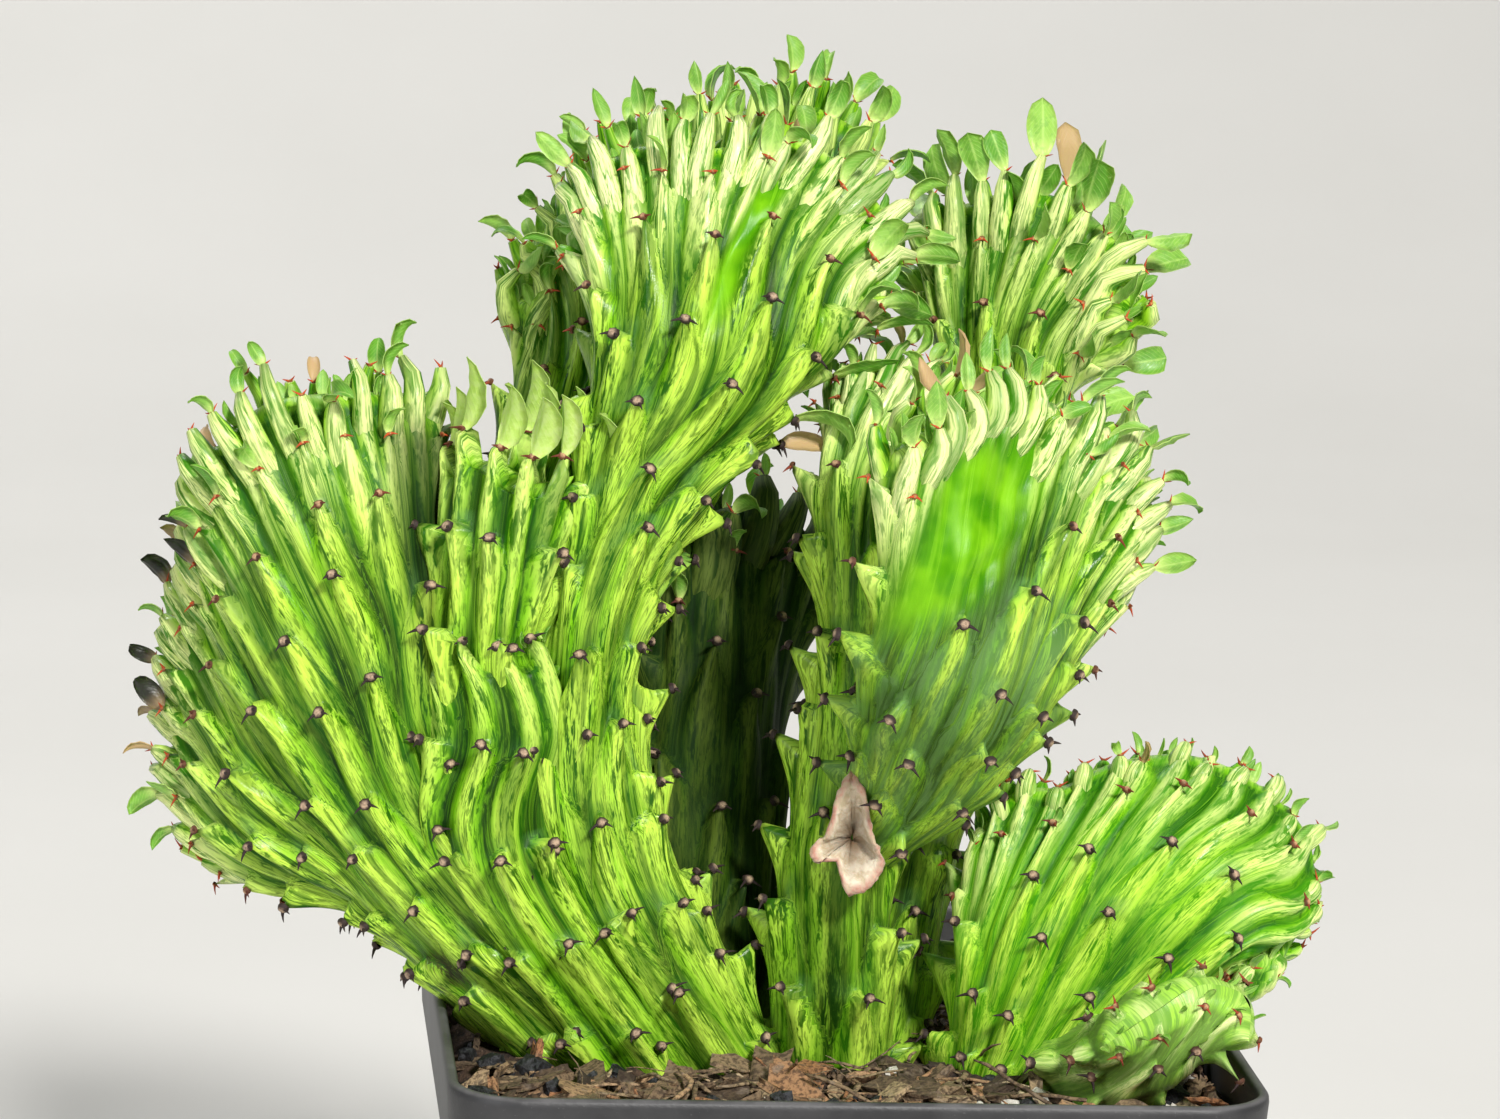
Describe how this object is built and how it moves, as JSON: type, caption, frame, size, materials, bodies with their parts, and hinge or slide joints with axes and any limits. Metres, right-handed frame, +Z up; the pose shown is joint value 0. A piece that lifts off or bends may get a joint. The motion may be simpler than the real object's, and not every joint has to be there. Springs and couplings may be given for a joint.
{
  "type": "potted crested euphorbia lactea",
  "caption": "Crested succulent with fan-shaped ribbed crests and small leaves, standing in soil in a square plastic nursery pot.",
  "frame": {"origin": "centre of the pot's underside, on the surface it stands on", "axes": "+Z up, +X to the right and +Y away from the viewer of the plant's front, square to the pot's sides"},
  "size_m": [0.1587, 0.1012, 0.2061],
  "materials": {
    "pot_plastic": "dull black, dusty on the rim",
    "soil": "loose bark chips and fibres, matt",
    "plant": "waxy yellow-green skin with dark-green streaks, semi-gloss",
    "husk": "dry, papery"
  },
  "bodies": {
    "root": {"pot": "pot_plastic", "soil": "soil", "crest_main": "plant", "crest_right": "plant", "crest_low": "plant", "dry_husk": "husk"}
  },
  "joints": []
}
